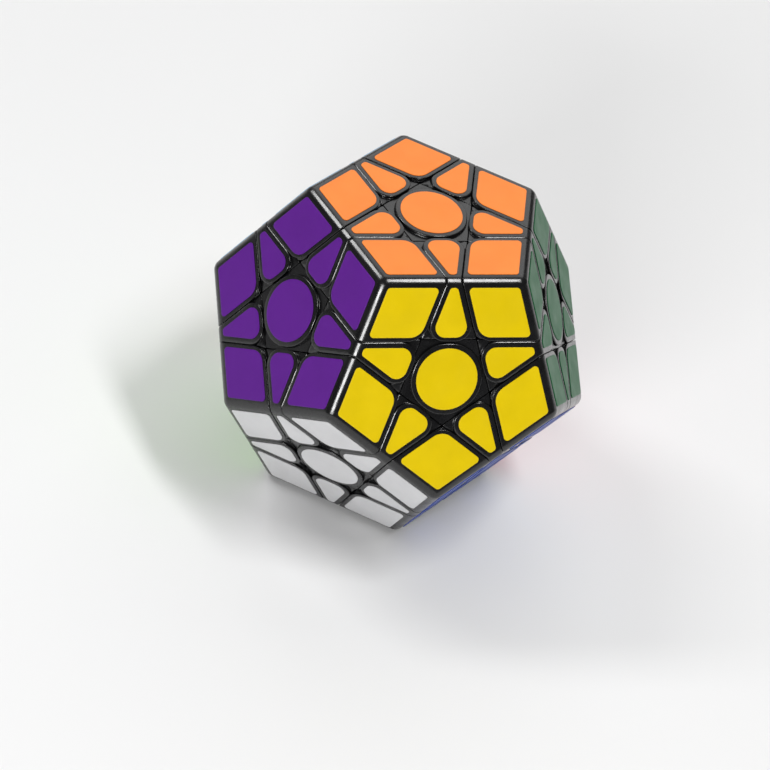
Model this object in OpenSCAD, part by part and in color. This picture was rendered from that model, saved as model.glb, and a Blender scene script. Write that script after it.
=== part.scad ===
// Dodecahedron twisty puzzle: a core with twelve sprung screws that hold twelve centres, which hold
// thirty edges, which hold twenty corners. Every face of the solid carries eleven stickers.
// Origin at the middle of the core, +Z along the axis of the top face, one flat face underneath.

/* [Body] */
// distance between two opposite faces, stickers included
across_faces = 66.8; // [50:0.1:90]
// distance from the middle of the puzzle to each of the twelve cuts, as a share of the inradius
cut_share = 0.651; // [0.63:0.001:0.68]
// clearance that each piece leaves on its own side of a cut
gap = 0.1; // [0.08:0.01:0.25]
// how far each arris of the body is planed back
arris_trim = 0.35; // [0.1:0.05:0.8]
// how far each vertex of the body is cut back
vertex_trim = 0.6; // [0.3:0.05:1.2]

/* [Mechanism] */
// outer radius of the ball-shaped shell in which the feet of edges and corners slide
foot_outer = 23; // [22.5:0.1:24]
// inner radius of that shell
foot_inner = 18; // [17.5:0.1:19]
// half angle of the cone that divides the necks above the shell
neck_angle = 44; // [42:0.5:46]
// half angle of the cone that divides the feet
foot_angle = 50; // [49:0.5:51]
// radius of the post between the block and the foot of an edge piece
edge_post_r = 2.8; // [2:0.1:3]
// radius of the post between the block and the foot of a corner piece
corner_post_r = 2; // [1.6:0.1:2.2]
// radius of the tubular stem under a centre
stem_r = 4; // [3.6:0.05:4.1]
// radius of the bore inside that stem
stem_bore_r = 3.1; // [3:0.05:3.2]
// radius of the ball in the middle of the core
core_ball_r = 12; // [10:0.5:14]
// radius of the twelve arms of the core
arm_r = 3.7; // [3.2:0.1:3.9]

/* [Screws and springs] */
// radius of a screw's shank
screw_r = 1.45; // [1.2:0.05:1.5]
// radius of a screw's head
screw_head_r = 2.7; // [2.4:0.1:2.8]
// thickness of a screw's head
screw_head_h = 1.6; // [1:0.1:2]
// distance from the middle of the puzzle to a screw's tip
screw_tip_z = 6; // [5:0.5:8]
// radius of the spring's wire
wire_r = 0.25; // [0.2:0.05:0.3]
// turns of wire in a spring
spring_turns = 4; // [3:0.5:6]

/* [Stickers and caps] */
// thickness of a sticker
sticker_t = 0.15; // [0.1:0.01:0.3]
// radius of the round sticker on a cap
round_sticker_r = 6.43; // [5.5:0.05:6.6]
// width of bare plastic between a sticker and the cut beside it
cut_margin = 1.05; // [0.8:0.05:1.3]
// width of bare plastic between a sticker and the arris beside it
arris_margin = 1.7; // [1.2:0.05:2]
// rounding of a corner sticker at its three outer points
corner_tip_r = 0.8; // [0.4:0.1:1.2]
// depth of the star-shaped floor round a cap
valley_depth = 0.7; // [0.5:0.1:1.6]
// radius that rounds the five points of a cap
cap_r = 7.5; // [7.45:0.05:8.2]
// rounding of a corner piece where it points at the cap
nose_r = 4.2; // [3:0.1:5]
// rounding of an edge piece at the two ends of its inner side
shoulder_r = 3.2; // [2.5:0.1:3.6]

/* [Hidden] */
$fn = 64;
reach = 60;
past = 1;
overlap = 0.5;
arc_steps = 4;

inradius = across_faces / 2;
body_face = inradius - sticker_t;
cut = inradius * cut_share;
face_angle = atan(2);
vertex_share = sqrt((5 + 2 * sqrt(5)) / 15);
apothem = inradius * tan(acos(vertex_share)) * cos(36);
cut_line = (cut - inradius * cos(face_angle)) / sin(face_angle);
midradius = body_face / cos(face_angle / 2);
circumradius = body_face / vertex_share;
valley_z = body_face - valley_depth;

// Heights at which the rooms of a layer start and stop, clear of the tips of their cones.
neck_start = foot_outer * cos(neck_angle) - 2;
foot_start = foot_inner * cos(foot_angle) - 1.5;
foot_top = foot_outer + 3;

// Plug of a cap and its socket.
cap_clear = 0.05;
plug_r = 5.1;
plug_h = 3;
plug_bore_r = plug_r + 0.1;
plug_bore_h = plug_h + 0.3;

// Stem of a centre, and the screw, washer and spring stacked inside it.
blank_r = 14;
blank_z = foot_outer - 4;
stem_floor_z = foot_inner + 0.5;
stem_floor_h = 1.7;
stem_top_z = foot_outer + 2;
seat_gap = 0.05;
screw_clear = 0.08;
thread_clear = 0.02;
washer_h = 0.5;
spring_foot_z = stem_floor_z + stem_floor_h + seat_gap;
screw_head_z = valley_z - plug_bore_h - screw_head_h - 0.2;
spring_top_z = screw_head_z - washer_h - seat_gap;
spring_clear = 0.15;
cross_l = 3.2;
cross_w = 0.7;
cross_depth = 0.9;

// Arms of the core.
arm_root = 2;
arm_z = foot_inner + 0.2;
tip_clear = 0.3;

black = [0.05, 0.05, 0.055];
steel = [0.72, 0.73, 0.75];
pale = [0.9, 0.9, 0.88];
// Orange on top; yellow, green, grey, light blue and purple round the upper ring; blue, pink, cream,
// light green and white round the lower ring; red underneath.
face_colours = [
    [0.99, 0.56, 0.3], [0.9, 0.78, 0.01], [0.2, 0.47, 0.33], [0.55, 0.56, 0.58],
    [0.42, 0.72, 0.9], [0.36, 0.15, 0.52], [0.12, 0.25, 0.62], [0.92, 0.45, 0.62],
    [0.93, 0.87, 0.68], [0.5, 0.8, 0.25], [0.9, 0.9, 0.9], [0.78, 0.08, 0.1]];

// Faces are numbered 0 at the top, 1 to 5 round the upper ring from the front, 6 to 10 round the
// lower ring, and 11 underneath. Each has an angle from +Z, an azimuth and a spin about its own axis
// that turns its local +X towards one of its neighbours.
function upper(f) = f >= 1 && f <= 5;
function lower(f) = f >= 6 && f <= 10;
function tilt(f) = f == 0 ? 0 : upper(f) ? face_angle : lower(f) ? 180 - face_angle : 180;
function azimuth(f) = upper(f) ? -90 + 72 * (f - 1) : lower(f) ? -54 + 72 * (f - 6) : 0;
function spin(f) = f == 0 ? -90 : upper(f) ? 180 : lower(f) ? 0 : 234;
function normal(f) = [sin(tilt(f)) * cos(azimuth(f)), sin(tilt(f)) * sin(azimuth(f)), cos(tilt(f))];
function next(k) = k % 5 + 1;
function adjacent(a, b) = abs(normal(a) * normal(b) - cos(face_angle)) < 0.01;

all_faces = [0:11];
ring = [1:5];
edges_top = [for (k = ring) [0, k]];
edges_upper = [for (k = ring) [k, next(k)]];
edges_waist = [for (k = ring) each [[k, k + 5], [next(k), k + 5]]];
edges_lower = [for (k = ring) [k + 5, next(k) + 5]];
edges_bottom = [for (k = ring) [11, k + 5]];
corners = [for (k = ring) each [
    [0, k, next(k)], [k, next(k), k + 5], [next(k), k + 5, next(k) + 5], [11, k + 5, next(k) + 5]]];

// The three layers that turn each belong to one face; everything else stays with the core.
turning = [["front", 1], ["bottom", 11], ["rear_left", 4]];
turning_faces = [for (t = turning) t[1]];
centre_names = ["top", "front", "right", "rear_right", "rear_left", "left", "low_front_right",
    "low_right", "low_rear", "low_left", "low_front_left", "bottom"];
function holds(list, value) = len([for (v = list) if (v == value) v]) > 0;
function is_fixed(faces) = len([for (f = faces) if (holds(turning_faces, f)) f]) == 0;

// Direction that leans by lean degrees from face f's axis, towards local azimuth a.
function pointing(f, a, lean) = let (
    s = a + spin(f),
    x = sin(lean) * cos(s), y = sin(lean) * sin(s), z = cos(lean),
    t = tilt(f), u = x * cos(t) + z * sin(t), w = -x * sin(t) + z * cos(t), p = azimuth(f))
    [u * cos(p) - y * sin(p), u * sin(p) + y * cos(p), w];
// Neighbour of face f towards local azimuth 72 * k.
function around(f, k) = [for (g = all_faces)
    if (adjacent(f, g) && norm(normal(g) - pointing(f, 72 * k, face_angle)) < 0.01) g][0];
function unit(v) = v / norm(v);
// Direction of the piece that lies on all the faces of a list, and its local azimuth on one face.
function middle(faces) = unit(len(faces) == 2 ? normal(faces[0]) + normal(faces[1])
    : normal(faces[0]) + normal(faces[1]) + normal(faces[2]));
function bearing(f, piece) = atan2(piece * pointing(f, 90, 90), piece * pointing(f, 0, 90));

// Points of the arc of radius r that rounds corner b of an anticlockwise outline.
function fillet(a, b, c, r) = let (
    u = unit(a - b), v = unit(c - b), half = acos(u * v) / 2,
    centre = b + unit(u + v) * r / sin(half),
    first = b + u * r / tan(half) - centre,
    start = atan2(first[1], first[0]), step = (180 - 2 * half) / arc_steps)
    [for (i = [0:arc_steps]) centre + r * [cos(start + i * step), sin(start + i * step)]];
function rounded(points, radii) = let (n = len(points))
    [for (i = [0:n - 1]) each fillet(points[(i + n - 1) % n], points[i], points[(i + 1) % n], radii[i])];

// Place children, drawn along +Z, on the axis of face f.
module on_face(f) {
    rotate([0, tilt(f), azimuth(f)]) rotate([0, 0, spin(f)]) children();
}

// Carry a piece drawn in its place on faces 0 and 1, or 0, 1 and 2, to its place on other faces.
module carried_to(faces) {
    f = faces[0];
    start = [for (k = [0:4]) if (holds(faces, around(f, k))
        && (len(faces) == 2 || holds(faces, around(f, (k + 1) % 5)))) k][0];
    on_face(f) rotate([0, 0, 72 * start - spin(0)]) children();
}

// Room of one layer above the shell: a cone up to the cut plane, then everything over the plane.
module neck_room(inset, wide, top) {
    tip = inset / sin(neck_angle);
    plane = cut + inset;
    rotate_extrude() polygon([[0, neck_start], [(neck_start - tip) * tan(neck_angle), neck_start],
        [(plane - tip) * tan(neck_angle), plane], [wide, plane], [wide, top], [0, top]]);
}

// Room of one layer inside the shell: a plain cone.
module foot_room(inset) {
    tip = inset / sin(foot_angle);
    rotate_extrude() polygon([[0, foot_start], [(foot_start - tip) * tan(foot_angle), foot_start],
        [(foot_top - tip) * tan(foot_angle), foot_top], [0, foot_top]]);
}

// Place a room on face f, turned about its axis so that it closes on the side away from a piece.
module room_on(f, piece) {
    on_face(f) rotate(bearing(f, piece) + 180) children();
}

// Place children, drawn along +Z, on a direction.
module along(direction) {
    rotate([0, acos(direction[2]), atan2(direction[1], direction[0])]) children();
}

// Half space under a plane at the given height, square to a direction.
module under(direction, height) {
    along(direction) translate([-reach, -reach, height - 2 * reach]) cube(2 * reach);
}

// Ball round the core, turned so that it closes on the side away from a piece.
module ball(r, piece) {
    along(piece) rotate([0, 90, 0]) sphere(r = r);
}

// Material taken off the nose of a corner piece on one of its faces, local +X towards the vertex.
module nose_waste() {
    arc_x = (cut_line + gap + nose_r) / cos(36);
    translate([0, 0, valley_z]) difference() {
        translate([0, -arc_x, 0]) cube([arc_x - nose_r * cos(36), 2 * arc_x, 2 * valley_depth]);
        translate([arc_x, 0, -past]) cylinder(r = nose_r, h = 2 * (valley_depth + past));
    }
}

// Material taken off one inner shoulder of an edge piece, local +X towards the arris.
module shoulder_waste() {
    x = cut_line + gap;
    side = (cut_line - gap) / cos(18);
    y = side - x * tan(18);
    run = shoulder_r / tan(36);
    arc = [x + shoulder_r, y - run];
    on_side = [x + run * cos(18), y - run * sin(18)];
    spare = 3;
    translate([0, 0, valley_z]) difference() {
        linear_extrude(height = 2 * valley_depth) polygon([[x, arc[1]], on_side,
            on_side + spare * [sin(18), cos(18)], [x - spare, y + spare], [x - spare, arc[1]]]);
        translate([arc[0], arc[1], -past]) cylinder(r = shoulder_r, h = 2 * (valley_depth + past));
    }
}

// Foot in the shell, and the round post that joins it to the block above.
module foot(own, other, post_r) {
    piece = middle(own);
    difference() {
        intersection() {
            ball(foot_outer - gap, piece);
            intersection_for (f = own) room_on(f, piece) foot_room(gap);
        }
        for (f = other) room_on(f, piece) foot_room(-gap);
        ball(foot_inner, piece);
    }
    along(piece) translate([0, 0, foot_inner + past])
        cylinder(r = post_r, h = foot_top - foot_inner - past);
}

// Block above the shell, bounded by its own faces, by the layers it stays out of and by its children.
module block(own, other) {
    piece = middle(own);
    difference() {
        intersection() {
            intersection_for (f = own) room_on(f, piece) neck_room(gap, circumradius, body_face);
            under(unit(normal(own[0]) + normal(own[1])), midradius - arris_trim);
            children();
        }
        for (f = other) room_on(f, piece) neck_room(-gap, reach, reach);
        ball(foot_outer + gap, piece);
    }
}

// Edge piece on faces 0 and 1, between faces 2 and 5.
module edge_shape() {
    own = [0, 1];
    other = [2, 5];
    difference() {
        union() {
            block(own, other) cube(4 * reach, center = true);
            foot(own, other, edge_post_r);
        }
        for (f = own, k = [0:4]) if (holds(own, around(f, k))) on_face(f) rotate([0, 0, 72 * k]) {
            shoulder_waste();
            mirror([0, 1, 0]) shoulder_waste();
        }
    }
}

// Corner piece on faces 0, 1 and 2.
module corner_shape() {
    own = [0, 1, 2];
    difference() {
        union() {
            block(own, []) intersection() {
                under(unit(normal(1) + normal(2)), midradius - arris_trim);
                under(unit(normal(2) + normal(0)), midradius - arris_trim);
                ball(circumradius - vertex_trim, middle(own));
            }
            foot(own, [], corner_post_r);
        }
        for (f = own, k = [0:4]) if (holds(own, around(f, k)) && holds(own, around(f, (k + 1) % 5)))
            on_face(f) rotate([0, 0, 72 * k + 36]) nose_waste();
    }
}

module edge_piece(pair) {
    color(black) carried_to(pair) edge_shape();
}

module corner_piece(trio) {
    color(black) carried_to(trio) corner_shape();
}

module centre_base(f) {
    color(black) on_face(f) difference() {
        union() {
            difference() {
                translate([0, 0, blank_z]) cylinder(r = blank_r, h = valley_z - blank_z);
                for (k = [0:4]) rotate([0, 0, 72 * k]) rotate([0, face_angle, 0])
                    neck_room(-gap, reach, reach);
                rotate([0, 90, 0]) sphere(r = foot_outer + gap);
            }
            translate([0, 0, stem_floor_z]) cylinder(r = stem_r, h = stem_top_z - stem_floor_z);
        }
        translate([0, 0, stem_floor_z - past])
            cylinder(r = screw_r + screw_clear, h = stem_floor_h + 2 * past);
        translate([0, 0, stem_floor_z + stem_floor_h]) cylinder(r = stem_bore_r, h = reach);
        translate([0, 0, valley_z - plug_bore_h]) cylinder(r = plug_bore_r, h = plug_bore_h + past);
    }
}

module caps(faces) {
    corner_x = (cut_line - gap - cap_clear) / cos(36);
    color(black) for (f = faces) on_face(f) {
        intersection() {
            translate([0, 0, valley_z]) linear_extrude(height = valley_depth)
                polygon([for (k = [0:4]) corner_x * [cos(72 * k + 36), sin(72 * k + 36)]]);
            translate([0, 0, valley_z - past]) cylinder(r = cap_r, h = valley_depth + 2 * past);
        }
        translate([0, 0, valley_z - plug_h]) cylinder(r = plug_r, h = plug_h + overlap);
    }
}

// Stickers of face f: the round one if asked for, and each edge or corner sticker whose list of faces
// the function keep accepts.
module face_stickers(f, keep_round, keep) {
    inner = cut_line + cut_margin;
    side = (cut_line - cut_margin) / cos(18);
    outer = apothem - arris_margin;
    wide = side - inner * tan(18);
    narrow = side - outer * tan(18);
    edge_outline = rounded([[inner, -wide], [outer, -narrow], [outer, narrow], [inner, wide]],
        [shoulder_r - cut_margin, narrow, narrow, shoulder_r - cut_margin]);
    near = inner / cos(36);
    far = outer / cos(36);
    half = (far - near) / 2 * tan(54);
    corner_outline = rounded([[near, 0], [(near + far) / 2, -half], [far, 0], [(near + far) / 2, half]],
        [nose_r - cut_margin, corner_tip_r, corner_tip_r, corner_tip_r]);
    color(face_colours[f]) on_face(f) translate([0, 0, body_face]) {
        if (keep_round) cylinder(r = round_sticker_r, h = sticker_t);
        for (k = [0:4]) {
            if (keep([f, around(f, k)]))
                rotate([0, 0, 72 * k]) linear_extrude(height = sticker_t) polygon(edge_outline);
            if (keep([f, around(f, k), around(f, (k + 1) % 5)]))
                rotate([0, 0, 72 * k + 36]) linear_extrude(height = sticker_t) polygon(corner_outline);
        }
    }
}

// All the stickers that turn with one face.
module layer_stickers(layer_face) {
    for (f = all_faces) face_stickers(f, f == layer_face, function (faces) holds(faces, layer_face));
}

// All the stickers that stay with the core.
module fixed_stickers() {
    for (f = all_faces) face_stickers(f, is_fixed([f]), function (faces) is_fixed(faces));
}

module core() {
    color(pale) difference() {
        union() {
            sphere(r = core_ball_r);
            for (f = all_faces) on_face(f) translate([0, 0, core_ball_r - arm_root])
                cylinder(r = arm_r, h = arm_z - core_ball_r + arm_root);
        }
        for (f = all_faces) on_face(f) translate([0, 0, screw_tip_z - tip_clear])
            cylinder(r = screw_r + thread_clear, h = arm_z);
    }
}

module tension_screws() {
    color(steel) for (f = all_faces) on_face(f) difference() {
        union() {
            translate([0, 0, screw_tip_z]) cylinder(r = screw_r, h = screw_head_z - screw_tip_z + overlap);
            translate([0, 0, screw_head_z]) cylinder(r = screw_head_r, h = screw_head_h);
        }
        for (a = [0, 90]) rotate([0, 0, a])
            translate([-cross_l / 2, -cross_w / 2, screw_head_z + screw_head_h - cross_depth])
                cube([cross_l, cross_w, cross_depth + past]);
    }
}

module washers() {
    color(steel) for (f = all_faces) on_face(f) translate([0, 0, screw_head_z - washer_h]) difference() {
        cylinder(r = screw_head_r, h = washer_h);
        translate([0, 0, -past]) cylinder(r = screw_r + screw_clear, h = washer_h + 2 * past);
    }
}

// Coil of wire as one closed surface: square rings along a helix, with an end cap at each end.
module coil_spring() {
    steps = 10;
    count = steps * spring_turns;
    mean_r = stem_bore_r - wire_r - spring_clear;
    rise = spring_top_z - spring_foot_z - 2 * wire_r;
    ring_points = [for (i = [0:count], c = [0:3]) let (
        a = 360 * i / steps, r = mean_r + wire_r * cos(90 * c + 45),
        z = spring_foot_z + wire_r + rise * i / count + wire_r * sin(90 * c + 45))
        [r * cos(a), r * sin(a), z]];
    walls = [for (i = [0:count - 1], c = [0:3]) let (a = 4 * i + c, b = 4 * i + (c + 1) % 4)
        each [[a, b, b + 4], [a, b + 4, a + 4]]];
    last = 4 * count;
    polyhedron(points = ring_points, faces = concat([[3, 2, 1], [3, 1, 0]], walls,
        [[last, last + 1, last + 2], [last, last + 2, last + 3]]));
}

module springs() {
    color(steel) for (f = all_faces) on_face(f) coil_spring();
}

core();
tension_screws();
springs();
washers();
for (f = all_faces) centre_base(f);
/* caps_fixed */ caps([for (f = all_faces) if (is_fixed([f])) f]);
for (t = turning) caps([t[1]]);
for (k = ring) edge_piece(edges_top[k - 1]);
for (k = ring) edge_piece(edges_upper[k - 1]);
for (k = [1:10]) edge_piece(edges_waist[k - 1]);
for (k = ring) edge_piece(edges_lower[k - 1]);
for (k = ring) edge_piece(edges_bottom[k - 1]);
/* corners_fixed */ for (c = corners) if (is_fixed(c)) corner_piece(c);
for (t = turning) for (c = corners) if (holds(c, t[1])) corner_piece(c);
fixed_stickers();  // stickers_fixed
for (t = turning) layer_stickers(t[1]);
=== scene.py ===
"""Looks of the dodecahedron twisty puzzle: moulded edge and corner pieces with rounded rims, round
caps, thin vinyl stickers, plastic and metal materials, and the studio round it."""
import math

import bpy
import numpy as np
from mathutils import Matrix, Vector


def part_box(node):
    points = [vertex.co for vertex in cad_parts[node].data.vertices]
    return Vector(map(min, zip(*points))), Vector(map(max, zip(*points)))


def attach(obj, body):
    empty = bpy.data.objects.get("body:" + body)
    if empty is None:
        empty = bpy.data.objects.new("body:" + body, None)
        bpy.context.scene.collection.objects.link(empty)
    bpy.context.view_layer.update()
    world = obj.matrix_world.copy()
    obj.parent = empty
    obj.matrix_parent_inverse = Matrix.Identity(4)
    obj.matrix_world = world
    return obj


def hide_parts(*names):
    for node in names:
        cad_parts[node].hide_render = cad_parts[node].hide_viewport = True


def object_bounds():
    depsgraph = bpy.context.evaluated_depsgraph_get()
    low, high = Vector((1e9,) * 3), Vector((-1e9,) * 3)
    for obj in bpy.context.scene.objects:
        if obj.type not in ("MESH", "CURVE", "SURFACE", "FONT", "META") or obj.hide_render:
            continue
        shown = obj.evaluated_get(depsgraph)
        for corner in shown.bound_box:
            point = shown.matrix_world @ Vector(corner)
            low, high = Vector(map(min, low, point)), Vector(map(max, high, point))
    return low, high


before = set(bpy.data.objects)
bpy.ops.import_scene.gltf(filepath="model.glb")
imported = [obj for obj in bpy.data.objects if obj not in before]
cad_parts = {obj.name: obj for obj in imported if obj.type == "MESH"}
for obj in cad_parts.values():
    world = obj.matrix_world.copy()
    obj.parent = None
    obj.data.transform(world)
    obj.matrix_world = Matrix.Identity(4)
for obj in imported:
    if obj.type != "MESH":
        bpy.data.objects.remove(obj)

START_BOX = [list(map(float, corner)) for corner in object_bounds()]

# ---------------------------------------------------------------------------------------------
# Sizes in millimetres and radians. The inradius comes from the frame; the rest are shares of it,
# radii and clearances.
# ---------------------------------------------------------------------------------------------
MM = 0.001
FIFTH, TENTH = math.radians(72), math.radians(36)
INRADIUS = START_BOX[1][2] / MM
STICKER_T = 0.15
BODY_FACE = INRADIUS - STICKER_T

# Distance from the middle of the puzzle to the cut under each layer, and the clearance drawn on
# either side of a cut.
CUT = 0.651 * INRADIUS
GAP = 0.06

# Angle between the normals of neighbouring faces, radius and inner radius of one face, and distance
# from its middle to the lines where its neighbours' cuts cross it.
FACE_ANGLE = math.atan(2)
FACE_RADIUS = INRADIUS * math.tan(math.acos(math.sqrt((5 + 2 * math.sqrt(5)) / 15)))
APOTHEM = FACE_RADIUS * math.cos(TENTH)
CUT_LINE = (CUT - INRADIUS * math.cos(FACE_ANGLE)) / math.sin(FACE_ANGLE)

# Star-shaped low floor round each cap.
VALLEY_DEPTH = 0.7
VALLEY_Z = BODY_FACE - VALLEY_DEPTH

# Ball-shaped shell in which the feet slide, the cones that part them, and the posts above them.
FOOT_OUTER, FOOT_INNER = 23.0, 18.0
NECK_ANGLE, FOOT_ANGLE = math.radians(44), math.radians(50)
EDGE_POST_R, CORNER_POST_R = 2.8, 2.0
POST_SIDES = 32

# Plan roundings of corner noses and edge shoulders, then roundings of rims, arrises and feet.
NOSE_R, SHOULDER_R = 4.2, 3.2
NOSE_SHARE, SHOULDER_SHARE = 0.62, 1.2
RIM_R, ARRIS_R, CAP_RIM_R, LEDGE_BEND = 0.22, 1.1, 0.25, 0.08
UNDERSIDE_R, FOOT_R = 0.3, 0.5

# Caps: radius, gap to each edge piece, power that sets how crisp the flats' ends are, plug under the
# cap, shares of the radius that its flat top is drawn at, and the fillet at its foot, as
# (inward offset, height over the low floor).
CAP_R, CAP_GAP, CAP_CRISP = 7.5, 0.15, 48
PLUG_R, PLUG_H, PLUG_TOP = 5.1, 3.0, 0.02
CAP_RINGS = (0.35, 0.75)
CAP_FILLET = ((0, 0.15), (-0.03, 0.05), (-0.12, -0.01))

# Stickers: plan, how far they are sunk, and the rolled rim, as (inward offset, drop from the top).
ROUND_STICKER_R = 6.43
CUT_MARGIN, ARRIS_MARGIN, CORNER_TIP_R = 1.05, 1.7, 0.8
STICKER_SINK = 0.02
STICKER_RIM = ((0, 0.06), (0.02, 0.02), (0.07, 0), (0.35, 0))

# Springs: wire, turns, share of the coil that lies flat at each end, the well that holds it with its
# play all round, and under it the stem's floor, with where that starts and how thick it is.
WIRE_R, SPRING_TURNS, FLAT_SHARE = 0.25, 4, 0.12
WELL_R, SPRING_PLAY = 3.1, 0.15
FLOOR_START, FLOOR_T, SEAT_GAP = FOOT_INNER + 0.5, 1.7, 0.05

# Point inside each block or foot that its surface is drawn from, as a distance along the piece's
# axis, and the furthest that the surface can be from it.
EDGE_HEART, CORNER_HEART, FOOT_HEART = 31.5, 32.5, 20.5
BLOCK_REACH, FOOT_REACH = 24, 14

# Drawing of those surfaces: steps and halvings of the search along a ray, lines of the first fine
# sampling, the leans at which it looks round the piece, and for both angles the weight of bending
# against length with the most that one bend counts for.
RAY_STEPS, HALVINGS = 120, 22
FINE_TURNS, FINE_LEANS = 721, 361
LOOK_LEANS = np.radians([35, 50, 62, 74, 86])
TURN_WEIGHT, TURN_LIMIT = 0.9, 0.2
LEAN_WEIGHT, LEAN_LIMIT = 1.6, 0.3

# The camera's bearing from -Y towards +X, its height above the horizon, its distance and the point
# it is aimed at in metres, its roll about its line of sight, and its lens and sensor.
VIEW_BEARING, VIEW_HEIGHT, VIEW_DISTANCE = math.radians(-22.78), math.radians(41.18), 0.758
AIM = np.array([-2.97, -6.73, -8.41]) * MM
CAMERA = AIM + VIEW_DISTANCE * np.array([
    math.sin(VIEW_BEARING) * math.cos(VIEW_HEIGHT), -math.cos(VIEW_BEARING) * math.cos(VIEW_HEIGHT),
    math.sin(VIEW_HEIGHT)])
VIEW_ROLL, LENS, SENSOR = math.radians(14.9), 169.9, 36

# Lights: name, the two faces of an arris, share of the way round that arris, distance and size in
# metres, and power in watts.
LIGHTS = [
    ("low_front", (1, 5), 0.42, 1.0, (0.42, 0.14), 5.6),
    ("high_right", (0, 1), 0.50, 1.1, (0.52, 0.16), 6.2),
    ("high_left", (0, 5), 0.50, 1.1, (0.46, 0.14), 3.6),
    ("rear_panel", (0, 1), 0.0, 1.5, (1.4, 1.4), 7.4)]
SURROUND_STRENGTH = 0.09

# Faces are numbered 0 at the top, 1 to 5 round the upper ring from the front, 6 to 10 round the
# lower ring, and 11 underneath, as in the frame.
FACE_NAMES = ["top", "front", "right", "rear_right", "rear_left", "left", "low_front_right",
              "low_right", "low_rear", "low_left", "low_front_left", "bottom"]
FACE_COLOURS = ["orange", "yellow", "green", "grey", "light_blue", "purple", "blue",
                "pink", "cream", "light_green", "white", "red"]
TURNING = {1: "front", 11: "bottom", 4: "rear_left"}


def about_y(angle):
    """Rotation about Y."""
    c, s = math.cos(angle), math.sin(angle)
    return np.array([[c, 0, s], [0, 1, 0], [-s, 0, c]])


def about_z(angle):
    """Rotation about Z."""
    c, s = math.cos(angle), math.sin(angle)
    return np.array([[c, -s, 0], [s, c, 0], [0, 0, 1]])


def face_frame(face):
    """Rotation whose columns are a face's local axes: the third is its outward normal and the first
    leans towards one of its five neighbours."""
    if face == 0:
        tilt, azimuth, spin = 0.0, 0.0, -90.0
    elif face <= 5:
        tilt, azimuth, spin = FACE_ANGLE, -90.0 + 72 * (face - 1), 180.0
    elif face <= 10:
        tilt, azimuth, spin = math.pi - FACE_ANGLE, -54.0 + 72 * (face - 6), 0.0
    else:
        tilt, azimuth, spin = math.pi, 0.0, 234.0
    return about_z(math.radians(azimuth)) @ about_y(tilt) @ about_z(math.radians(spin))


FRAMES = [face_frame(face) for face in range(12)]
NORMALS = np.array([turn[:, 2] for turn in FRAMES])


def unit(vector):
    """Vector of the same direction and length one."""
    return vector / np.linalg.norm(vector)


def square_to(axis):
    """Two unit vectors square to an axis and to each other."""
    side = unit(np.cross(axis, [0.31, 0.87, 0.38]))
    return side, np.cross(axis, side)


def after(k):
    """Next number round a ring of five faces."""
    return k % 5 + 1


def towards(face, step):
    """Neighbour of a face whose bearing, in the face's own frame, is that many fifths of a turn."""
    a = math.radians(72 * step)
    local = np.array([math.sin(FACE_ANGLE) * math.cos(a), math.sin(FACE_ANGLE) * math.sin(a),
                      math.cos(FACE_ANGLE)])
    return int(np.argmax(NORMALS @ (FRAMES[face] @ local)))


def layer_of(faces):
    """Name of the body that the piece on these faces belongs to."""
    for face in faces:
        if face in TURNING:
            return TURNING[face] + "_layer"
    return "core_body"


def layer_word(body):
    """Word for a body in the names of the nodes that gather its small parts."""
    return body.replace("_layer", "").replace("core_body", "fixed")


# ---------------------------------------------------------------------------------------------
# Solids as fields: negative inside, zero on the surface, in millimetres.
# ---------------------------------------------------------------------------------------------
def both(a, b, radius):
    """Intersection of two fields with the edge between them rounded: the greater of the two, and
    where both are less than the radius below zero, the hypotenuse of what each lacks of being the
    radius below zero, less the radius."""
    over = np.hypot(np.maximum(a + radius, 0), np.maximum(b + radius, 0))
    return np.minimum(np.maximum(a, b), -radius) + over


def neck_room(points, face, inset):
    """Room of a layer above the feet, over its cut plane or inside its cone: the lesser of how far
    the point is short of the plane, and its distance from the face's axis times the cosine of the
    cone's half angle less its height times the sine."""
    height = points @ NORMALS[face]
    across = np.linalg.norm(points - height[:, None] * NORMALS[face], axis=1)
    cone = across * math.cos(NECK_ANGLE) - height * math.sin(NECK_ANGLE) + inset
    return np.minimum(CUT + inset - height, cone)


def foot_room(points, face, inset):
    """Room of a layer among the feet, inside its cone: the point's distance from the face's axis times
    the cosine of the cone's half angle less its height times the sine."""
    height = points @ NORMALS[face]
    across = np.linalg.norm(points - height[:, None] * NORMALS[face], axis=1)
    return across * math.cos(FOOT_ANGLE) - height * math.sin(FOOT_ANGLE) + inset


def skin(points, faces):
    """The piece's own outer faces, with every arris and the vertex between them rounded: the greatest
    height over a face, and near an arris the root of the summed squares of the heights over planes
    sunk by the arris's radius, less that radius."""
    fields = np.stack([points @ NORMALS[face] - BODY_FACE for face in faces])
    over = np.sqrt((np.maximum(fields + ARRIS_R, 0) ** 2).sum(0))
    return np.minimum(fields.max(0), -ARRIS_R) + over


def shallow(points, faces, radius):
    """A plan rounding that is full down to the star-shaped floor and crisp under it, which leaves a
    flat ledge at the level of that floor."""
    depth = BODY_FACE - (points @ NORMALS[list(faces)].T).max(1)
    fade = np.clip((depth - VALLEY_DEPTH) / LEDGE_BEND + 0.5, 0, 1)
    return radius + (RIM_R - radius) * fade * fade * (3 - 2 * fade)


def under_shell(points):
    """Everything outside the shell in which the feet slide."""
    return FOOT_OUTER + GAP - np.linalg.norm(points, axis=1)


def corner_block(points):
    """Corner piece above its foot: inside three layers, its three noses rounded in plan."""
    trio = (0, 1, 2)
    walls = [neck_room(points, face, GAP) for face in trio]
    radius = shallow(points, trio, NOSE_SHARE * NOSE_R)
    side = both(both(walls[0], walls[1], radius), walls[2], radius)
    return both(both(skin(points, trio), side, RIM_R), under_shell(points), UNDERSIDE_R)


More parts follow.
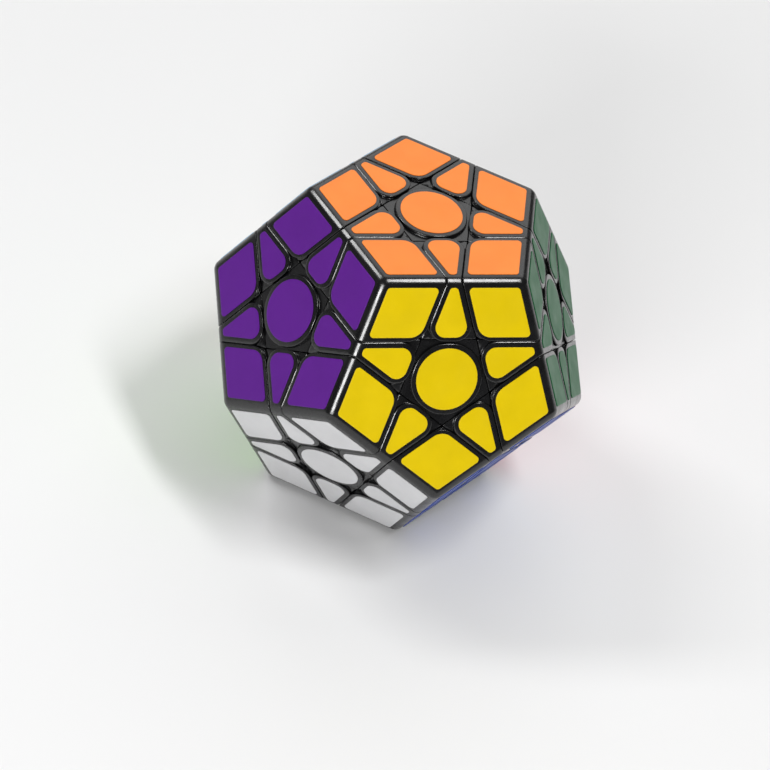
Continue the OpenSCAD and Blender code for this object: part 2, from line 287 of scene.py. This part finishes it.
def edge_block(points):
    """Edge piece above its foot: inside two layers, outside the two at its ends, with the four inner
    shoulders rounded in plan."""
    pair, ends = (0, 1), (5, 2)
    inner = [neck_room(points, face, GAP) for face in pair]
    outer = [-neck_room(points, face, -GAP) for face in ends]
    radius = shallow(points, pair, SHOULDER_SHARE * SHOULDER_R)
    side = np.max([both(a, b, radius) for a in inner for b in outer], axis=0)
    return both(both(skin(points, pair), side, RIM_R), under_shell(points), UNDERSIDE_R)


def foot_block(points, own, ends):
    """Foot of an edge or corner piece: a thick tile of the ball-shaped shell, inside its own cones."""
    distance = np.linalg.norm(points, axis=1)
    fields = [foot_room(points, face, GAP) for face in own]
    fields += [-foot_room(points, face, -GAP) for face in ends]
    side = np.max(fields, axis=0)
    return both(both(side, distance - FOOT_OUTER + GAP, FOOT_R), FOOT_INNER - distance, FOOT_R)


# ---------------------------------------------------------------------------------------------
# Surfaces from the fields and from profiles.
# ---------------------------------------------------------------------------------------------
def spread(values, weights, count):
    """Samples of a line placed so that each step holds the same share of the running weight."""
    total = np.concatenate([[0], np.cumsum(weights)])
    return np.interp(np.linspace(0, total[-1], count), total, values)


def reach_of(field, centre, rays, far):
    """Distance from a centre along each ray to the first place where the field turns positive, found
    by even steps outwards and then by halving the step that crosses it."""
    steps = np.linspace(0, far, RAY_STEPS)
    low = np.zeros(len(rays))
    high = np.full(len(rays), far)
    open_ray = np.ones(len(rays), bool)
    for step in steps[1:]:
        outside = field(centre + rays * step) > 0
        high = np.where(open_ray & outside, step, high)
        open_ray &= ~outside
        low = np.where(open_ray, step, low)
    for _ in range(HALVINGS):
        middle = (low + high) / 2
        outside = field(centre + rays * middle[:, None]) > 0
        high = np.where(outside, middle, high)
        low = np.where(outside, low, middle)
    return (low + high) / 2


def bending(points):
    """Angle through which a polyline turns at each of its segments."""
    steps = np.diff(points, axis=0)
    steps /= np.linalg.norm(steps, axis=1)[:, None] + 1e-12
    turn = np.arccos(np.clip((steps[1:] * steps[:-1]).sum(1), -1, 1))
    return np.concatenate([[0], turn]) + np.concatenate([turn, [0]])


def star_surface(field, centre, axis, around, rows, far):
    """Closed surface of a solid that is star-shaped about a centre. Its two parameters are the angle
    about the axis and the angle from it, and each point is where the ray leaves the solid. Both
    angles are spaced so that the surface's tight bends get more lines than its flats."""
    axis = unit(axis)
    side, up = square_to(axis)

    def ray(turn, lean):
        """Directions at angles about the axis and from it."""
        flat = np.cos(turn)[:, None] * side + np.sin(turn)[:, None] * up
        return np.sin(lean)[:, None] * flat + np.cos(lean)[:, None] * axis

    turns = np.linspace(0, 2 * math.pi, FINE_TURNS)
    weight = np.zeros(FINE_TURNS - 1)
    for lean in LOOK_LEANS:
        rays = ray(turns, np.full(FINE_TURNS, lean))
        loop = centre + rays * reach_of(field, centre, rays, far)[:, None]
        length = np.linalg.norm(np.diff(loop, axis=0), axis=1)
        bends = np.minimum(bending(loop), TURN_LIMIT)
        weight += length / length.sum() + TURN_WEIGHT * bends / (2 * math.pi)
    turns = spread(turns, weight, around + 1)[:-1]
    leans = np.radians(np.linspace(0, 180, FINE_LEANS))
    grid = []
    for turn in turns:
        rays = ray(np.full(FINE_LEANS, turn), leans)
        line = centre + rays * reach_of(field, centre, rays, far)[:, None]
        length = np.linalg.norm(np.diff(line, axis=0), axis=1)
        bends = np.minimum(bending(line), LEAN_LIMIT)
        weight = length / length.sum() + LEAN_WEIGHT * bends / math.pi
        grid.append(spread(leans, weight, rows + 2)[1:-1])
    leans = np.array(grid).T
    rays = ray(np.tile(turns, rows), leans.ravel())
    points = centre + rays * reach_of(field, centre, rays, far)[:, None]
    poles = np.stack([axis, -axis])
    ends = centre + poles * reach_of(field, centre, poles, far)[:, None]
    return lathe_mesh(points.reshape(rows, around, 3), ends[0], ends[1])


def lathe_mesh(rings, first, last):
    """Vertices and faces of a closed surface given as a stack of rings, from the outer pole to the
    inner one, each ring running anticlockwise as seen from outside the first pole."""
    rows, around, _ = rings.shape
    vertices = np.concatenate([rings.reshape(-1, 3), [first], [last]])
    faces = []
    for row in range(rows - 1):
        here, below = row * around, (row + 1) * around
        for i in range(around):
            j = (i + 1) % around
            faces.append((here + i, below + i, below + j, here + j))
    top, bottom, last_row = rows * around, rows * around + 1, (rows - 1) * around
    for i in range(around):
        j = (i + 1) % around
        faces.append((top, i, j))
        faces.append((bottom, last_row + j, last_row + i))
    return vertices, faces


def stacked_outline(outline, profile):
    """Rings of a plate: a closed plan outline about the local axis, shrunk and raised by the profile's
    steps, each of which is (share of the outline, inward offset, height)."""
    radius = np.linalg.norm(outline, axis=1)
    out = outline / radius[:, None]
    rings = []
    for share, inward, z in profile:
        ring = out * (share * radius - inward)[:, None]
        rings.append(np.column_stack([ring, np.full(len(outline), z)]))
    return np.array(rings)


def offset_outline(outline, inward):
    """Closed anticlockwise outline moved inwards by a distance, square to itself at each point."""
    along = np.roll(outline, -1, axis=0) - np.roll(outline, 1, axis=0)
    along /= np.linalg.norm(along, axis=1)[:, None]
    return outline + inward * np.column_stack([-along[:, 1], along[:, 0]])


def post_mesh(axis, radius):
    """Round post between a block and its foot: a circle swept straight along the piece's axis."""
    axis = unit(axis)
    side, up = square_to(axis)
    a = np.linspace(0, 2 * math.pi, POST_SIDES + 1)[:-1, None]
    circle = radius * (np.cos(a) * side + np.sin(a) * up)
    heights = [FOOT_OUTER + 3, FOOT_INNER + 1]
    rings = np.array([circle + height * axis for height in heights])
    return lathe_mesh(rings, heights[0] * axis, heights[1] * axis)


def joined(parts):
    """Several vertex and face lists as one."""
    vertices, faces, start = [], [], 0
    for points, polygons in parts:
        vertices.append(points)
        faces += [tuple(start + i for i in polygon) for polygon in polygons]
        start += len(points)
    return np.concatenate(vertices), faces


def make_piece(name, vertices, faces, material, body, smooth=True):
    """Mesh object in metres at the origin, which rides on a body and takes one material slot."""
    mesh = bpy.data.meshes.new(name)
    mesh.from_pydata((np.asarray(vertices) * MM).tolist(), [], faces)
    mesh.polygons.foreach_set("use_smooth", [smooth] * len(mesh.polygons))
    mesh.update()
    mesh.materials.append(material)
    piece = bpy.data.objects.new(name, mesh)
    bpy.context.scene.collection.objects.link(piece)
    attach(piece, body)
    return piece


# ---------------------------------------------------------------------------------------------
# Materials
# ---------------------------------------------------------------------------------------------
def new_material(name, colour, roughness, **values):
    """Material with its main values on the shader's own sockets."""
    material = bpy.data.materials.new(name)
    material.use_nodes = True
    shader = material.node_tree.nodes["Principled BSDF"]
    shader.inputs["Base Color"].default_value = (*colour, 1.0)
    shader.inputs["Roughness"].default_value = roughness
    for key, value in values.items():
        shader.inputs[key.replace("_", " ")].default_value = value
    return material


def noise(material, scale, detail=3.0, stretch=(1, 1, 1)):
    """Noise in object coordinates, scaled per metre."""
    nodes, links = material.node_tree.nodes, material.node_tree.links
    place = nodes.new("ShaderNodeTexCoord")
    mapping = nodes.new("ShaderNodeMapping")
    mapping.inputs["Scale"].default_value = stretch
    texture = nodes.new("ShaderNodeTexNoise")
    texture.inputs["Scale"].default_value = scale
    texture.inputs["Detail"].default_value = detail
    links.new(place.outputs["Object"], mapping.inputs["Vector"])
    links.new(mapping.outputs["Vector"], texture.inputs["Vector"])
    return texture.outputs["Fac"]


def ranged(material, value, low, high, start=0.3, stop=0.7):
    """Map a noise value onto a range."""
    node = material.node_tree.nodes.new("ShaderNodeMapRange")
    node.inputs["From Min"].default_value = start
    node.inputs["From Max"].default_value = stop
    node.inputs["To Min"].default_value = low
    node.inputs["To Max"].default_value = high
    material.node_tree.links.new(value, node.inputs["Value"])
    return node.outputs["Result"]


def add_bump(material, layers):
    """Chain of bumps, each (height value, strength, depth in metres)."""
    nodes, links = material.node_tree.nodes, material.node_tree.links
    shader = nodes["Principled BSDF"]
    normal = None
    for value, strength, depth in layers:
        bump = nodes.new("ShaderNodeBump")
        bump.inputs["Strength"].default_value = strength
        bump.inputs["Distance"].default_value = depth
        links.new(value, bump.inputs["Height"])
        if normal is not None:
            links.new(normal, bump.inputs["Normal"])
        normal = bump.outputs["Normal"]
    links.new(normal, shader.inputs["Normal"])


def vary_roughness(material, value, low, high):
    """Let a noise value carry the roughness between two bounds."""
    shader = material.node_tree.nodes["Principled BSDF"]
    material.node_tree.links.new(ranged(material, value, low, high), shader.inputs["Roughness"])


def tint(material, value, low, high):
    """Blend the base colour between two tones by a noise value."""
    nodes, links = material.node_tree.nodes, material.node_tree.links
    ramp = nodes.new("ShaderNodeValToRGB")
    ramp.color_ramp.elements[0].position = 0.35
    ramp.color_ramp.elements[0].color = (*low, 1)
    ramp.color_ramp.elements[1].position = 0.65
    ramp.color_ramp.elements[1].color = (*high, 1)
    links.new(value, ramp.inputs["Fac"])
    links.new(ramp.outputs["Color"], nodes["Principled BSDF"].inputs["Base Color"])


def black_plastic():
    """Moulded black plastic: satin, with a fine skin, faint flow marks and handling scuffs."""
    base = (0.0028, 0.0028, 0.0032)
    material = new_material("black_plastic", base, 0.25, Specular_IOR_Level=0.5, Coat_Weight=0.3,
                            Coat_Roughness=0.10)
    tint(material, noise(material, 90, 4), base, (0.0050, 0.0050, 0.0058))
    vary_roughness(material, noise(material, 420, 6, (1, 0.35, 1)), 0.20, 0.32)
    flow, skin_grain = noise(material, 60, 2), noise(material, 2600, 3)
    add_bump(material, [(flow, 0.10, 0.0004), (skin_grain, 0.10, 0.00003)])
    return material


def core_plastic():
    """Plain pale moulded plastic of the hidden core."""
    material = new_material("core_plastic", (0.80, 0.80, 0.76), 0.45)
    tint(material, noise(material, 120, 3), (0.74, 0.74, 0.70), (0.83, 0.83, 0.79))
    add_bump(material, [(noise(material, 1500, 3), 0.12, 0.00004)])
    return material


def plated_steel():
    """Bright plated steel of screws, springs and washers, with fine drawing marks."""
    material = new_material("plated_steel", (0.62, 0.63, 0.65), 0.28, Metallic=1.0)
    marks = noise(material, 1400, 4, (1, 1, 0.15))
    vary_roughness(material, marks, 0.20, 0.40)
    add_bump(material, [(marks, 0.15, 0.00003)])
    return material


def vinyl(name, colour):
    """Sticker vinyl: even colour with a trace of print mottle, soft gloss and a slight ripple where it
    follows the plastic under it."""
    material = new_material("vinyl_" + name, colour, 0.38, Specular_IOR_Level=0.2)
    darker = tuple(0.955 * c for c in colour)
    lighter = tuple(min(1.0, 1.02 * c) for c in colour)
    tint(material, noise(material, 150, 5), darker, lighter)
    vary_roughness(material, noise(material, 260, 4), 0.33, 0.45)
    ripple, grain = noise(material, 45, 2), noise(material, 3800, 2)
    add_bump(material, [(ripple, 0.12, 0.0004), (grain, 0.05, 0.00002)])
    return material


# The white is the stickers' own colour, made greyer than white vinyl as a painted shade on the low
# front left face.
VINYL_COLOURS = {
    "yellow": (0.755, 0.548, 0.001), "orange": (0.960, 0.262, 0.046), "purple": (0.104, 0.011, 0.248),
    "green": (0.012, 0.130, 0.045), "white": (0.62, 0.62, 0.63), "blue": (0.012, 0.050, 0.330),
    "light_blue": (0.150, 0.480, 0.780), "grey": (0.270, 0.280, 0.300),
    "light_green": (0.210, 0.600, 0.050), "cream": (0.840, 0.740, 0.420), "pink": (0.840, 0.170, 0.340),
    "red": (0.560, 0.006, 0.010)}


# ---------------------------------------------------------------------------------------------
# Pieces
# ---------------------------------------------------------------------------------------------
def base_of(faces):
    """Three directions fixed to a set of faces, as columns: the faces' normals, and for a pair of
    faces the cross product of the two as well."""
    normals = [NORMALS[face] for face in faces]
    if len(normals) == 2:
        normals.append(np.cross(*normals))
    return np.column_stack(normals)


def placed(vertices, source, target):
    """Vertices carried from one set of faces to another by the rotation that matches their normals."""
    turn = base_of(target) @ np.linalg.inv(base_of(source))
    return vertices @ turn.T


def anticlockwise(trio):
    """The three faces of a corner in the order that turns the same way as faces 0, 1 and 2."""
    a, b, c = trio
    same = np.linalg.det(NORMALS[[a, b, c]]) * np.linalg.det(NORMALS[[0, 1, 2]]) > 0
    return (a, b, c) if same else (a, c, b)


def build_edges(black):
    """Thirty edge pieces, each the same surface turned to its place."""
    pair = (0, 1)
    axis = unit(NORMALS[0] + NORMALS[1])
    block = star_surface(edge_block, EDGE_HEART * axis, axis, around=104, rows=46, far=BLOCK_REACH)
    foot = star_surface(lambda p: foot_block(p, pair, (5, 2)), FOOT_HEART * axis, axis,
                        around=56, rows=22, far=FOOT_REACH)
    vertices, faces = joined([block, foot, post_mesh(axis, EDGE_POST_R)])
    ring = range(1, 6)
    edges = [(f"edge_top_{k}", (0, k)) for k in ring]
    edges += [(f"edge_upper_{k}", (k, after(k))) for k in ring]
    edges += [(f"edge_waist_{2 * k - 1}", (k, k + 5)) for k in ring]
    edges += [(f"edge_waist_{2 * k}", (after(k), k + 5)) for k in ring]
    edges += [(f"edge_lower_{k}", (k + 5, after(k) + 5)) for k in ring]
    edges += [(f"edge_bottom_{k}", (11, k + 5)) for k in ring]
    for node, target in edges:
        piece = make_piece("moulded_" + node, placed(vertices, pair, target), faces, black,
                           layer_of(target))
        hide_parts(node)


def build_corners(black):
    """Twenty corner pieces, each the same surface turned to its place."""
    trio = (0, 1, 2)
    axis = unit(NORMALS[0] + NORMALS[1] + NORMALS[2])
    block = star_surface(corner_block, CORNER_HEART * axis, axis, around=114, rows=46, far=BLOCK_REACH)
    foot = star_surface(lambda p: foot_block(p, trio, ()), FOOT_HEART * axis, axis,
                        around=54, rows=22, far=FOOT_REACH)
    vertices, faces = joined([block, foot, post_mesh(axis, CORNER_POST_R)])
    corners = []
    for k in range(1, 6):
        corners += [
            ("top", k, (0, k, after(k))), ("upper", k, (k, after(k), k + 5)),
            ("lower", k, (after(k), k + 5, after(k) + 5)), ("bottom", k, (11, k + 5, after(k) + 5))]
    for level, k, target in corners:
        body = layer_of(target)
        piece = make_piece(f"moulded_corner_{level}_{k}", placed(vertices, trio, anticlockwise(target)),
                           faces, black, body)
        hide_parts("corners_" + layer_word(body))


def cap_outline(count):
    """Plan of a cap: a circle flattened on the five sides that face the edge pieces. Its radius is a
    high power mean of the circle's radius and the distance to the nearest flat."""
    flat = CUT_LINE - CAP_GAP
    a = np.linspace(0, 2 * math.pi, count + 1)[:-1]
    off = (a + TENTH) % FIFTH - TENTH
    side = flat / np.cos(off)
    radius = (side ** -CAP_CRISP + CAP_R ** -CAP_CRISP) ** (-1 / CAP_CRISP)
    return np.column_stack([radius * np.cos(a), radius * np.sin(a)])


def build_caps(black):
    """Twelve caps: the boss with a rounded rim and a small fillet at its foot, and its plug."""
    outline = cap_outline(120)
    bend = np.radians(np.linspace(0, 90, 7))
    profile = [(share, 0, BODY_FACE) for share in CAP_RINGS]
    for a in bend:
        profile.append((1, CAP_RIM_R * (1 - math.sin(a)), BODY_FACE - CAP_RIM_R * (1 - math.cos(a))))
    profile += [(1, inward, VALLEY_Z + rise) for inward, rise in CAP_FILLET]
    plate = stacked_outline(outline, profile)
    radius = np.linalg.norm(outline, axis=1)
    out = outline / radius[:, None]
    for z in (VALLEY_Z - PLUG_TOP, VALLEY_Z - PLUG_H):
        plate = np.concatenate([plate, [np.column_stack([out * PLUG_R, np.full(len(out), z)])]])
    vertices, faces = lathe_mesh(plate, (0, 0, BODY_FACE), (0, 0, VALLEY_Z - PLUG_H))
    for face in range(12):
        name = TURNING.get(face)
        piece = make_piece("boss_" + FACE_NAMES[face], vertices @ FRAMES[face].T, faces, black,
                           layer_of([face]))
        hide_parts("cap_" + name if name else "caps_fixed")


def rounded(points, radii, steps):
    """Closed outline whose corners are replaced by arcs of the given radii."""
    points = np.asarray(points, float)
    line = []
    for i, corner in enumerate(points):
        u = unit(points[i - 1] - corner)
        v = unit(points[(i + 1) % len(points)] - corner)
        half = math.acos(np.clip(u @ v, -1, 1)) / 2
        middle = corner + unit(u + v) * radii[i] / math.sin(half)
        first = corner + u * radii[i] / math.tan(half) - middle
        start = math.atan2(first[1], first[0])
        for step in range(steps + 1):
            a = start + step * (math.pi - 2 * half) / steps
            line.append(middle + radii[i] * np.array([math.cos(a), math.sin(a)]))
    return np.array(line)


def sticker_plate(outline):
    """Thin sticker from its outline: straight cut side, tiny rolled rim, flat face."""
    middle = outline.mean(0)
    low, high = BODY_FACE - STICKER_SINK, BODY_FACE + STICKER_T
    rings = []
    for inward, z in [(0, low)] + [(inward, high - drop) for inward, drop in STICKER_RIM]:
        ring = offset_outline(outline, inward)
        rings.append(np.column_stack([ring, np.full(len(ring), z)]))
    rings = np.array(rings)[::-1]
    return lathe_mesh(rings, (*middle, high), (*middle, low))


def sticker_outlines():
    """Outlines of the round, edge and corner stickers in a face's own plane."""
    a = np.linspace(0, 2 * math.pi, 97)[:-1]
    disc = ROUND_STICKER_R * np.column_stack([np.cos(a), np.sin(a)])
    inner, outer = CUT_LINE + CUT_MARGIN, APOTHEM - ARRIS_MARGIN
    slant, tip = math.radians(18), math.radians(54)
    side = (CUT_LINE - CUT_MARGIN) / math.cos(slant)
    wide, narrow = (side - x * math.tan(slant) for x in (inner, outer))
    edge = rounded([(inner, -wide), (outer, -narrow), (outer, narrow), (inner, wide)],
                   [SHOULDER_R - CUT_MARGIN, narrow, narrow, SHOULDER_R - CUT_MARGIN], 10)
    near, far = (x / math.cos(TENTH) for x in (inner, outer))
    half = (far - near) / 2 * math.tan(tip)
    corner = rounded([(near, 0), ((near + far) / 2, -half), (far, 0), ((near + far) / 2, half)],
                     [NOSE_R - CUT_MARGIN, CORNER_TIP_R, CORNER_TIP_R, CORNER_TIP_R], 8)
    return disc, edge, corner


def about_axis(outline, degrees):
    """Plan outline turned about the face's own axis."""
    return outline @ about_z(math.radians(degrees))[:2, :2].T


def build_stickers(vinyls):
    """Eleven stickers on each face, gathered by colour and by the body that they turn with."""
    disc, edge, corner = sticker_outlines()
    groups = {}
    for face in range(12):
        plates = [(layer_of([face]), disc)]
        for step in range(5):
            near, further = towards(face, step), towards(face, step + 1)
            plates.append((layer_of([face, near]), about_axis(edge, 72 * step)))
            plates.append((layer_of([face, near, further]), about_axis(corner, 72 * step + 36)))
        for body, outline in plates:
            vertices, faces = sticker_plate(outline)
            group = groups.setdefault((body, FACE_COLOURS[face]), [])
            group.append((vertices @ FRAMES[face].T, faces))
    for (body, colour), parts in groups.items():
        vertices, faces = joined(parts)
        layer = layer_word(body)
        piece = make_piece(f"stickers_{colour}_{layer}_set", vertices, faces, vinyls[colour],
                           body)
        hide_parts("stickers_" + layer)


def build_springs(steel):
    """Twelve coil springs: a round wire swept along a helix that climbs evenly between its two ends,
    which lie flat."""
    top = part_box("springs")[1][2] / MM
    bottom = FLOOR_START + FLOOR_T + SEAT_GAP
    mean = WELL_R - WIRE_R - SPRING_PLAY
    steps_per_turn, around = 20, 8
    share = np.linspace(0, 1, SPRING_TURNS * steps_per_turn + 1)
    ease = np.clip((share - FLAT_SHARE) / (1 - 2 * FLAT_SHARE), 0, 1)
    height = bottom + WIRE_R + (top - bottom - 2 * WIRE_R) * ease
    spin = 2 * math.pi * SPRING_TURNS * share
    path = np.column_stack([mean * np.cos(spin), mean * np.sin(spin), height])
    out = np.column_stack([np.cos(spin), np.sin(spin), np.zeros_like(spin)])
    a = np.linspace(0, 2 * math.pi, around + 1)[:-1]
    up = np.array([0, 0, 1.0])
    rings = np.array([point + WIRE_R * (np.cos(a)[:, None] * side + np.sin(a)[:, None] * up)
                      for point, side in zip(path, out)])
    vertices, faces = lathe_mesh(rings, path[0], path[-1])
    parts = [(vertices @ FRAMES[face].T, faces) for face in range(12)]
    vertices, faces = joined(parts)
    piece = make_piece("coil_springs", vertices, faces, steel, "core_body")
    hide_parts("springs")


def dress_nodes(black, pale, steel):
    """Materials of the CAD nodes that stay in view: centres, core, screws and washers."""
    own = {"core": pale, "tension_screws": steel, "washers": steel}
    for name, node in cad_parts.items():
        if node.hide_render:
            continue
        node.data.materials.clear()
        node.data.materials.append(own.get(name, black))


# ---------------------------------------------------------------------------------------------
# Studio
# ---------------------------------------------------------------------------------------------
def plain(name, colour, roughness):
    """Plain studio surface with a trace of tone variation."""
    material = new_material(name, colour, roughness)
    tint(material, noise(material, 3, 2), tuple(0.985 * c for c in colour), colour)
    return material


def build_floor():
    """Pale sweep: a flat floor just below the lowest stickers that curls up into a backdrop, as a
    profile extruded sideways."""
    drop = 0.05 * MM
    front, depth, bend_r, rise, width = -1.6, 1.4, 0.5, 1.6, 3.0
    a = np.radians(np.linspace(0, 90, 25))
    y = np.concatenate([[front, 0], depth + bend_r * np.sin(a), [depth + bend_r]])
    z = np.concatenate([[0, 0], bend_r * (1 - np.cos(a)), [bend_r + rise]]) + START_BOX[0][2] - drop
    vertices = [(x, y[i], z[i]) for x in (-width, width) for i in range(len(y))]
    count = len(y)
    faces = [(i, i + 1, count + i + 1, count + i) for i in range(count - 1)]
    mesh = bpy.data.meshes.new("floor")
    mesh.from_pydata(vertices, [], faces)
    mesh.polygons.foreach_set("use_smooth", [True] * len(mesh.polygons))
    mesh.materials.append(plain("studio_white", (0.86, 0.86, 0.86), 0.9))
    floor = bpy.data.objects.new("floor", mesh)
    bpy.context.scene.collection.objects.link(floor)


def arris_light(name, faces, share, distance, size, power):
    """Soft rectangular light that the rounded arris between two faces mirrors into the camera, at a
    share of the way round it: its direction is twice the normal times its share of the view, less the
    view. Its long side lies along the path of that mirror image across the arris."""
    first, second = NORMALS[list(faces)]
    spot = unit(first + second) * INRADIUS * MM / math.cos(FACE_ANGLE / 2)
    view = unit(CAMERA - spot)

    def mirrored(part):
        """Direction that the arris mirrors into the camera at a share of the way round it."""
        normal = unit((1 - part) * first + part * second)
        return 2 * (normal @ view) * normal - view

    back = mirrored(share)
    step = 0.05
    path = mirrored(share + step) - mirrored(share - step)
    right = unit(path - (path @ back) * back)
    light = bpy.data.lights.new(name, "AREA")
    light.shape = "RECTANGLE"
    light.size, light.size_y = size
    light.energy = power
    holder = bpy.data.objects.new(name, light)
    holder.location = spot + distance * back
    holder.rotation_euler = axes_turn(right, np.cross(back, right), back).to_euler()
    bpy.context.scene.collection.objects.link(holder)


def axes_turn(right, up, back):
    """Rotation that carries X, Y and Z to three given axes."""
    return Matrix(np.column_stack([right, up, back]).tolist())


def build_camera():
    """Camera at its place, pointed at its aim and rolled about its own line of sight."""
    back = unit(CAMERA - AIM)
    right = unit(np.cross([0, 0, 1.0], back))
    roll = Matrix.Rotation(VIEW_ROLL, 3, "Z")
    camera = bpy.data.cameras.new("camera")
    camera.sensor_width = SENSOR
    camera.lens = LENS
    camera.clip_start, camera.clip_end = 0.05, 20
    holder = bpy.data.objects.new("camera", camera)
    holder.location = CAMERA
    holder.rotation_euler = (axes_turn(right, np.cross(back, right), back) @ roll).to_euler()
    bpy.context.scene.collection.objects.link(holder)
    bpy.context.scene.camera = holder


def build_world():
    """Even pale surroundings, so that the rounded rims pick up soft reflections."""
    world = bpy.data.worlds.new("studio")
    world.use_nodes = True
    background = world.node_tree.nodes["Background"]
    background.inputs["Color"].default_value = (1, 1, 1, 1)
    background.inputs["Strength"].default_value = SURROUND_STRENGTH
    bpy.context.scene.world = world
    settings = bpy.context.scene.view_settings
    settings.view_transform = "Standard"
    settings.look = "None"
    settings.exposure = 0.0


black = black_plastic()
pale = core_plastic()
steel = plated_steel()
vinyls = {name: vinyl(name, colour) for name, colour in VINYL_COLOURS.items()}
build_edges(black)
build_corners(black)
build_caps(black)
build_stickers(vinyls)
build_springs(steel)
dress_nodes(black, pale, steel)
build_floor()
build_world()
for light in LIGHTS:
    arris_light(*light)
build_camera()
